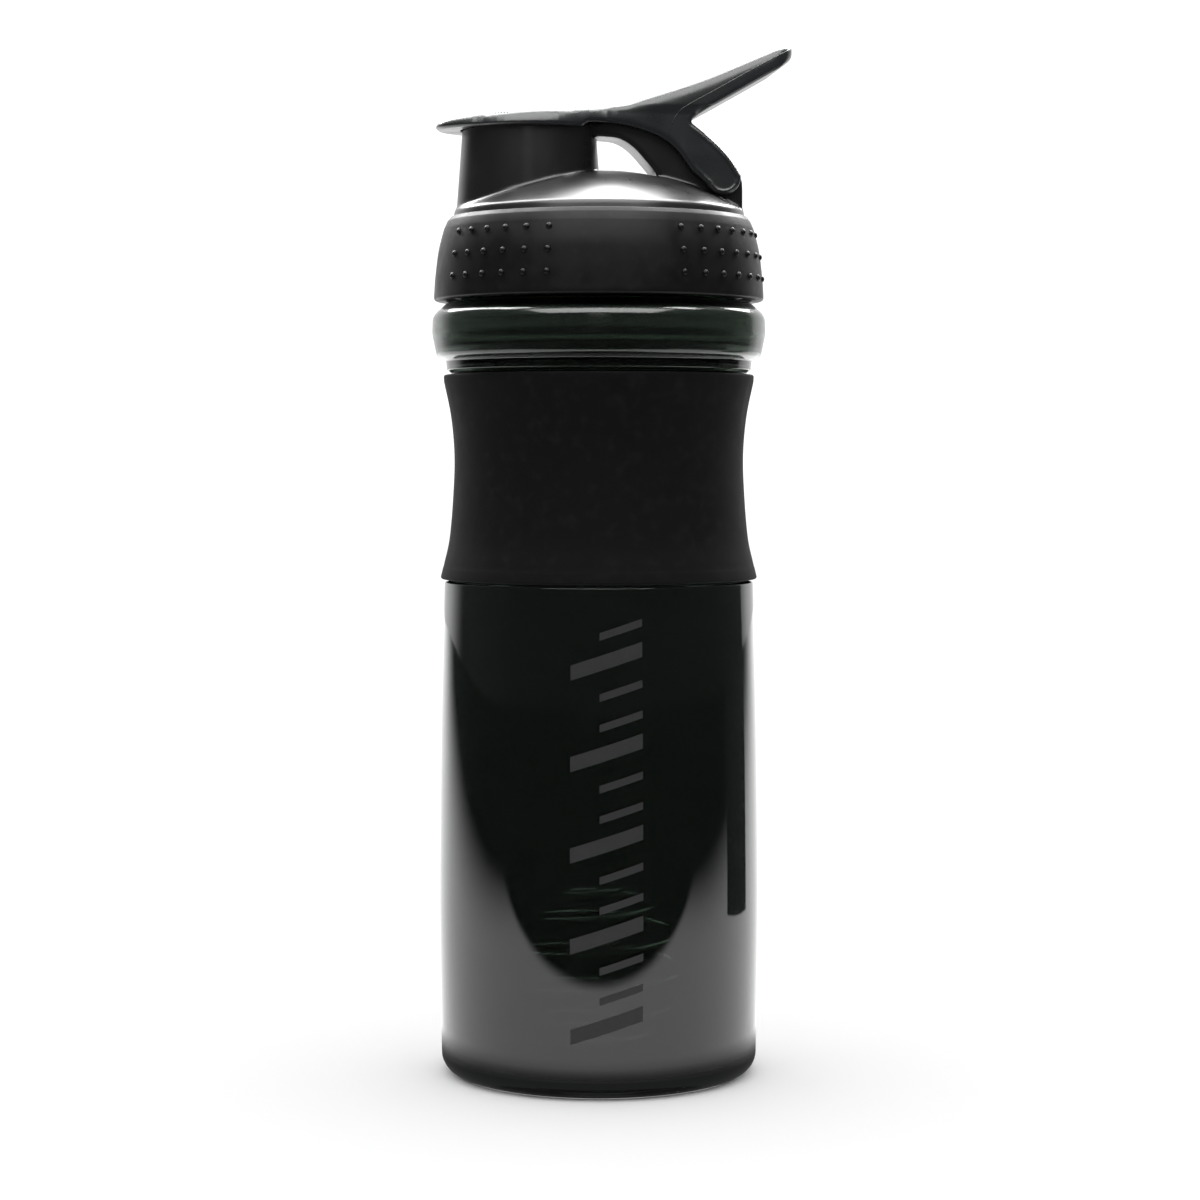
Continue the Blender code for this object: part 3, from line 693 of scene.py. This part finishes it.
# --- materials ---------------------------------------------------------------------------------
class Finish:
    """A Principled material and short ways to add its noise, bump and colour variation."""

    def __init__(self, name, colour, roughness, specular=0.5, metallic=0.0):
        self.material = bpy.data.materials.new(name)
        self.material.use_nodes = True
        self.nodes = self.material.node_tree.nodes
        self.links = self.material.node_tree.links
        self.shader = self.nodes["Principled BSDF"]
        self.shader.inputs["Base Color"].default_value = (*colour, 1.0)
        self.shader.inputs["Roughness"].default_value = roughness
        self.shader.inputs["Specular IOR Level"].default_value = specular
        self.shader.inputs["Metallic"].default_value = metallic
        self.where = self.nodes.new("ShaderNodeTexCoord").outputs["Object"]
        self.bump_from = None

    def noise(self, size_mm, detail, stretch=(1.0, 1.0, 1.0)):
        """Noise with features of about size_mm."""
        mapping = self.nodes.new("ShaderNodeMapping")
        mapping.inputs["Scale"].default_value = stretch
        self.links.new(self.where, mapping.inputs["Vector"])
        noise = self.nodes.new("ShaderNodeTexNoise")
        noise.inputs["Scale"].default_value = 1.0 / (size_mm * MM)
        noise.inputs["Detail"].default_value = detail
        self.links.new(mapping.outputs["Vector"], noise.inputs["Vector"])
        return noise.outputs["Fac"]

    def remap(self, value, low, high, to_low, to_high):
        """Spread a value over a new range."""
        node = self.nodes.new("ShaderNodeMapRange")
        node.inputs["From Min"].default_value = low
        node.inputs["From Max"].default_value = high
        node.inputs["To Min"].default_value = to_low
        node.inputs["To Max"].default_value = to_high
        self.links.new(value, node.inputs["Value"])
        return node.outputs["Result"]

    def bump(self, height, depth_mm):
        """Add a bump on top of any that is already there."""
        node = self.nodes.new("ShaderNodeBump")
        node.inputs["Strength"].default_value = 1.0
        node.inputs["Distance"].default_value = depth_mm * MM
        self.links.new(height, node.inputs["Height"])
        if self.bump_from is not None:
            self.links.new(self.bump_from, node.inputs["Normal"])
        self.bump_from = node.outputs["Normal"]
        self.links.new(self.bump_from, self.shader.inputs["Normal"])

    def vary_roughness(self, value, low, high):
        """Let noise move the roughness between two values."""
        self.links.new(self.remap(value, 0.3, 0.7, low, high), self.shader.inputs["Roughness"])

    def fleck(self, size_mm, low, high):
        """Sparse lighter flecks: only the noise above low counts."""
        return self.remap(self.noise(size_mm, 8.0), low, high, 0.0, 1.0)

    def vary_colour(self, value, dark, light):
        """Mix two colours by a value."""
        mix = self.nodes.new("ShaderNodeMix")
        mix.data_type = "RGBA"
        mix.inputs["A"].default_value = (*dark, 1.0)
        mix.inputs["B"].default_value = (*light, 1.0)
        self.links.new(value, mix.inputs["Factor"])
        self.links.new(mix.outputs["Result"], self.shader.inputs["Base Color"])


# painted shade: the smoke colour at the foot is darker, standing for the shade round the foot on
# the floor
FOOT_PAINTED_SHADE = (0.008, 0.010, 0.009)
BODY_SMOKE = (0.045, 0.054, 0.048)
# painted light: the bulge's smoke colour is lighter and greener, standing for light shining through
# it
BULGE_PAINTED_LIGHT = (0.095, 0.120, 0.100)
BULGE_FROM_Z = 171.0       # the bulge's painted light and its haze come in between these heights
BULGE_FULL_Z = 178.0
BULGE_HAZE = 0.13
SMOKE_RAMP_TOP_Z = 210.0


def smoke_plastic():
    """Translucent smoke grey with the slow waves of blow moulding, a little hazy in the bulge, with
    painted shade at the foot and painted light in the bulge.
    """
    f = Finish("smoke_plastic_look", BODY_SMOKE, 0.03)
    f.shader.inputs["Transmission Weight"].default_value = 1.0
    f.shader.inputs["IOR"].default_value = 1.52
    height = f.nodes.new("ShaderNodeSeparateXYZ")
    f.links.new(f.where, height.inputs["Vector"])
    frosted = f.remap(height.outputs["Z"], BULGE_FROM_Z * MM, BULGE_FULL_Z * MM, 0.0, BULGE_HAZE)
    ramp_node = f.nodes.new("ShaderNodeValToRGB")
    ramp = ramp_node.color_ramp
    f.links.new(f.remap(height.outputs["Z"], 0.0, SMOKE_RAMP_TOP_Z * MM, 0.0, 1.0),
                ramp_node.inputs["Fac"])
    f.links.new(ramp_node.outputs["Color"], f.shader.inputs["Base Color"])
    # painted shade: the foot's stop is darker; painted light: the bulge's stop is lighter and
    # greener
    stops = ((5.0, FOOT_PAINTED_SHADE), (14.0, BODY_SMOKE), (BULGE_FROM_Z, BODY_SMOKE),
             (BULGE_FULL_Z, BULGE_PAINTED_LIGHT))
    for place, (z, colour) in enumerate(stops):
        if place < 2:                 # a new ramp already has two stops
            stop = ramp.elements[place]
            stop.position = z / SMOKE_RAMP_TOP_Z
        else:
            stop = ramp.elements.new(z / SMOKE_RAMP_TOP_Z)
        stop.color = (*colour, 1.0)
    total = f.nodes.new("ShaderNodeMath")
    f.links.new(f.remap(f.noise(14.0, 5.0), 0.3, 0.7, 0.015, 0.05), total.inputs[0])
    f.links.new(frosted, total.inputs[1])
    f.links.new(total.outputs["Value"], f.shader.inputs["Roughness"])
    f.bump(f.noise(30.0, 1.0, (1.0, 1.0, 0.35)), 0.04)
    return f.material


def silicone():
    """Matte silicone with a fine powdery grain and faint dust."""
    f = Finish("silicone_look", (0.0045, 0.0045, 0.0048), 0.7, 0.05)
    f.vary_roughness(f.noise(6.0, 6.0), 0.58, 0.78)
    f.vary_colour(f.fleck(3.0, 0.52, 0.75), (0.0032, 0.0032, 0.0034), (0.0055, 0.0055, 0.0058))
    f.bump(f.noise(0.35, 3.0), 0.012)
    f.shader.inputs["Sheen Weight"].default_value = 0.02
    f.shader.inputs["Sheen Roughness"].default_value = 0.5
    return f.material


def lid_plastic():
    """Polished polypropylene: mostly smooth with a faint moulded orange peel."""
    f = Finish("lid_plastic_look", (0.008, 0.008, 0.009), 0.25)
    f.vary_roughness(f.noise(9.0, 6.0), 0.26, 0.34)
    f.vary_colour(f.noise(4.0, 6.0), (0.0075, 0.0075, 0.0085), (0.0095, 0.0095, 0.0105))
    f.bump(f.noise(0.8, 3.0), 0.003)
    return f.material


def band_rubber():
    """Satin soft-touch rubber."""
    f = Finish("band_rubber_look", (0.004, 0.004, 0.004), 0.42, 0.18)
    f.vary_roughness(f.noise(5.0, 6.0), 0.36, 0.5)
    f.vary_colour(f.fleck(2.0, 0.55, 0.78), (0.0035, 0.0035, 0.0035), (0.006, 0.006, 0.006))
    f.bump(f.noise(0.25, 3.0), 0.008)
    return f.material


def cap_plastic():
    """Satin moulded plastic, slightly blue grey."""
    f = Finish("cap_plastic_look", (0.014, 0.0155, 0.017), 0.3, 0.6)
    f.vary_roughness(f.noise(7.0, 6.0), 0.24, 0.36)
    f.vary_colour(f.noise(4.0, 6.0), (0.0125, 0.014, 0.0155), (0.0155, 0.017, 0.0185))
    f.bump(f.noise(0.5, 3.0), 0.003)
    return f.material


def soft_seal(name):
    """Smooth soft rubber for the plug and the gasket."""
    f = Finish(name, (0.02, 0.02, 0.021), 0.5, 0.4)
    f.vary_roughness(f.noise(2.0, 5.0), 0.42, 0.58)
    f.bump(f.noise(0.4, 3.0), 0.006)
    return f.material


def wire_steel():
    """Electropolished wire with faint drawing marks."""
    f = Finish("wire_steel_look", (0.72, 0.72, 0.71), 0.16, 0.5, 1.0)
    f.vary_roughness(f.noise(0.6, 5.0), 0.10, 0.24)
    f.bump(f.noise(0.3, 2.0), 0.004)
    return f.material


def print_ink():
    """Dark grey screen-printed ink, slightly uneven."""
    f = Finish("print_ink_look", (0.026, 0.026, 0.027), 0.55, 0.15)
    f.vary_roughness(f.noise(1.5, 5.0), 0.38, 0.55)
    f.vary_colour(f.noise(1.2, 6.0), (0.023, 0.023, 0.024), (0.029, 0.029, 0.030))
    f.bump(f.noise(0.3, 3.0), 0.005)
    return f.material


def add_piece(obj, material, body, *nodes):
    """Give a piece its material and its body, and say which node it stands for."""
    obj.data.materials.clear()
    obj.data.materials.append(material)
    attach(obj, body)
    if nodes:
        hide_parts(*nodes)
    return obj


rubber = band_rubber()
add_piece(make_bottle(), smoke_plastic(), "bottle", "bottle_body")
add_piece(make_sleeve(), silicone(), "bottle", "grip_sleeve")
level_print = add_piece(make_print(), print_ink(), "bottle")
add_piece(make_gasket(), soft_seal("gasket_look"), "lid_carrier", "lid_gasket")
lid = field_solid("lid_shell_fine", lid_field, (-37.5, -37.5, 192.0), (37.5, 37.5, 237.0),
                  LID_STEP)
add_piece(lid, lid_plastic(), "lid", "lid_shell")
add_piece(make_band(), rubber, "lid", "grip_band")
dots = add_piece(make_dots(), rubber, "lid")
cap = field_solid("flip_cap_fine", cap_field, (-40.8, -19.0, 216.0), (48.0, 19.0, 254.6),
                  CAP_STEP)
satin = cap_plastic()
add_piece(cap, satin, "cap", "flip_cap")
parting = add_piece(make_parting(), satin, "cap")
add_piece(make_plug(), soft_seal("plug_look"), "cap", "spout_plug")
add_piece(make_whisk(), wire_steel(), "whisk", "whisk_ball")


# --- camera, floor and light --------------------------------------------------------------------
CAMERA_ASIDE = 0.3
CAMERA_DISTANCE = 731.0
CAMERA_HEIGHT = 154.0
CAMERA_AZIMUTH = math.radians(-6.3)
CAMERA_PITCH = math.radians(2.87)
CAMERA_LENS = 88.5
FLOOR_HALF = 6000.0
SHEET_EDGE = 165.0         # how far the floor's glow reaches in front of the bottle
SHEET_SOFT = 12.0          # half the width of its front edge
SHEET_GLOW = 1.8
SHEET_FULL_ASIDE = 0.3     # it fades between these slopes, as seen from the camera's place
SHEET_DARK_ASIDE = 0.8
SHEET_LEVEL = 0.4          # how far it lies above the floor
SHADE_IN_R = 45.0          # it is shaded round the foot between these radii
SHADE_OUT_R = 78.0
SHADE_LEFT = 0.05
FLAG_HEIGHT = 700.0
FLAG_ENDS = ((287.0, 43.0), (240.0, 162.0))      # across and back, as from_camera takes them
ROOM_R = 2500.0
WORLD_WHITE = 1.19
BACKDROP = 1.05
BACKDROP_FROM = 0.45       # shares of the room's radius at which the backdrop comes in
BACKDROP_FULL = 0.8
LEFT_WALL_FROM = 0.86      # and beyond which the left wall glows a little more
DIM_ROOM = 0.03


def from_camera(across, back, up):
    """A place from millimetres across the camera's view, back along it, and up."""
    c, s = math.cos(CAMERA_AZIMUTH), math.sin(CAMERA_AZIMUTH)
    return ((across * c - back * s) * MM, (across * s + back * c) * MM, up * MM)


def make_camera():
    """The camera, nearly side on and a little above the middle of the bottle."""
    data = bpy.data.cameras.new("camera")
    data.lens = CAMERA_LENS
    data.sensor_width = 36.0
    data.clip_start = 0.01
    data.clip_end = 50.0
    camera = bpy.data.objects.new("camera", data)
    camera.location = from_camera(CAMERA_ASIDE, -CAMERA_DISTANCE, CAMERA_HEIGHT)
    camera.rotation_euler = (math.pi / 2 - CAMERA_PITCH, 0.0, CAMERA_AZIMUTH)
    bpy.context.collection.objects.link(camera)
    bpy.context.scene.camera = camera


def make_sheet(name, corners, material):
    """A flat four-cornered stage piece."""
    mesh = bpy.data.meshes.new(name)
    mesh.from_pydata([tuple(c) for c in corners], [], [(0, 1, 2, 3)])
    obj = bpy.data.objects.new(name, mesh)
    obj.data.materials.append(material)
    bpy.context.collection.objects.link(obj)
    return obj


class Studio:
    """Short ways to work out the studio's brightness from places in it."""

    def __init__(self, tree, where):
        self.nodes, self.links, self.where = tree.nodes, tree.links, where
        c, s = math.cos(CAMERA_AZIMUTH), math.sin(CAMERA_AZIMUTH)
        self.across = self.along((c, s, 0.0))
        self.back = self.along((-s, c, 0.0))

    def along(self, axis):
        """How far the place lies along an axis."""
        node = self.nodes.new("ShaderNodeVectorMath")
        node.operation = "DOT_PRODUCT"
        self.links.new(self.where, node.inputs[0])
        node.inputs[1].default_value = axis
        return node.outputs["Value"]

    def combine(self, operation, first, second):
        """One sum of two values, each a socket or a number."""
        node = self.nodes.new("ShaderNodeMath")
        node.operation = operation
        for socket, value in zip(node.inputs, (first, second)):
            if isinstance(value, float):
                socket.default_value = value
            else:
                self.links.new(value, socket)
        return node.outputs["Value"]

    def fade(self, value, low, high, to_low=0.0, to_high=1.0):
        """A smooth change from one level to another."""
        node = self.nodes.new("ShaderNodeMapRange")
        node.interpolation_type = "SMOOTHSTEP"
        node.inputs["From Min"].default_value = low
        node.inputs["From Max"].default_value = high
        node.inputs["To Min"].default_value = to_low
        node.inputs["To Max"].default_value = to_high
        self.links.new(value, node.inputs["Value"])
        return node.outputs["Result"]


def glow_material(name, glow_of=None):
    """A surface that only shines: dimly, or as brightly as glow_of works out from the place."""
    f = Finish(name, (0.0, 0.0, 0.0), 0.9, 0.0)
    f.shader.inputs["Emission Color"].default_value = (1.0, 1.0, 1.0, 1.0)
    strength = f.shader.inputs["Emission Strength"]
    strength.default_value = DIM_ROOM
    if glow_of is not None:
        f.links.new(glow_of(Studio(f.material.node_tree, f.where)), strength)
    return f.material


def floor_glow(studio):
    """The floor as gloss sees it: it ends in front, fades aside and is shaded round the foot."""
    front = studio.fade(studio.back, -(SHEET_EDGE + SHEET_SOFT) * MM,
                        -(SHEET_EDGE - SHEET_SOFT) * MM)
    reach = studio.combine("ADD", studio.back, CAMERA_DISTANCE * MM)
    aside = studio.combine("DIVIDE", studio.combine("ABSOLUTE", studio.across, 0.0), reach)
    sides = studio.fade(aside, SHEET_FULL_ASIDE, SHEET_DARK_ASIDE, SHEET_GLOW, 0.0)
    lit = studio.combine("MULTIPLY", front, sides)
    squared = studio.combine("ADD", studio.combine("MULTIPLY", studio.across, studio.across),
                             studio.combine("MULTIPLY", studio.back, studio.back))
    shaded = studio.fade(squared, (SHADE_IN_R * MM) ** 2, (SHADE_OUT_R * MM) ** 2, SHADE_LEFT, 1.0)
    return studio.combine("MULTIPLY", lit, shaded)


def room_glow(studio):
    """The room as gloss sees it: a white backdrop behind the bottle and dim everywhere else."""
    left = studio.fade(studio.across, -ROOM_R * MM, -LEFT_WALL_FROM * ROOM_R * MM, DIM_ROOM, 0.0)
    behind = studio.fade(studio.back, BACKDROP_FROM * ROOM_R * MM, BACKDROP_FULL * ROOM_R * MM,
                         DIM_ROOM, BACKDROP)
    return studio.combine("ADD", left, behind)


def gloss_only(obj):
    """Let a piece of the studio be seen in reflections and nowhere else."""
    obj.visible_camera = False
    obj.visible_diffuse = False
    obj.visible_transmission = False
    obj.visible_shadow = False


def make_level(name, half, height, material):
    """A level square sheet, centred under the bottle."""
    half, height = half * MM, height * MM
    return make_sheet(name, [(-half, -half, height), (half, -half, height), (half, half, height),
                             (-half, half, height)], material)


def make_stage():
    """The pale floor, and the dim studio round it that only reflections see."""
    floor = make_level("floor", FLOOR_HALF, 0.0,
                       Finish("floor_look", (0.93, 0.93, 0.93), 0.9, 0.0).material)
    floor.visible_glossy = False
    gloss_only(make_level("floor_in_gloss", 0.9 * ROOM_R, SHEET_LEVEL,
                          glow_material("floor_glow", floor_glow)))
    near, far = FLAG_ENDS
    corners = [(*near, 0.0), (*far, 0.0), (*far, FLAG_HEIGHT), (*near, FLAG_HEIGHT)]
    gloss_only(make_sheet("flag_right", [from_camera(*c) for c in corners],
                          glow_material("flag_glow")))
    arc = [(ROOM_R * math.sin(math.radians(a)), -ROOM_R * math.cos(math.radians(a)))
           for a in range(0, 181, 6)]
    room = turned("room_in_gloss", arc, 64)
    room.data.materials.append(glow_material("room_glow", room_glow))
    gloss_only(room)


def make_light(name, place, aim, width, height, radiance, filling=True):
    """A soft rectangular light that the camera doesn't see, and matt surfaces only if filling."""
    data = bpy.data.lights.new(name, "AREA")
    data.shape = "RECTANGLE"
    data.size = width * MM
    data.size_y = height * MM
    data.energy = radiance * math.pi * data.size * data.size_y
    obj = bpy.data.objects.new(name, data)
    start, end = Vector(from_camera(*place)), Vector(from_camera(*aim))
    obj.location = start
    obj.rotation_euler = (end - start).to_track_quat("-Z", "Y").to_euler()
    obj.visible_camera = False
    obj.visible_diffuse = filling
    bpy.context.collection.objects.link(obj)


def make_world():
    """Plain white on every side."""
    world = bpy.data.worlds.new("studio")
    world.use_nodes = True
    ground = world.node_tree.nodes["Background"]
    ground.inputs["Color"].default_value = (1.0, 1.0, 1.0, 1.0)
    ground.inputs["Strength"].default_value = WORLD_WHITE
    bpy.context.scene.world = world
    bpy.context.scene.view_settings.view_transform = "Standard"


def make_light_rig():
    """A large softbox above and behind, a dimmer one in front, and a small soft spot."""
    make_light("overhead", (0, 520, 1050), (0, -40, 150), 1800, 1200, 18.0, filling=False)
    make_light("front_top", (0, -700, 1300), (0, 0, 200), 1800, 1000, 6.5, filling=False)
    make_light("front_spot", (-20, -1100, 560), (0, 0, 225), 220, 130, 1.4)


make_camera()
make_stage()
make_world()
make_light_rig()
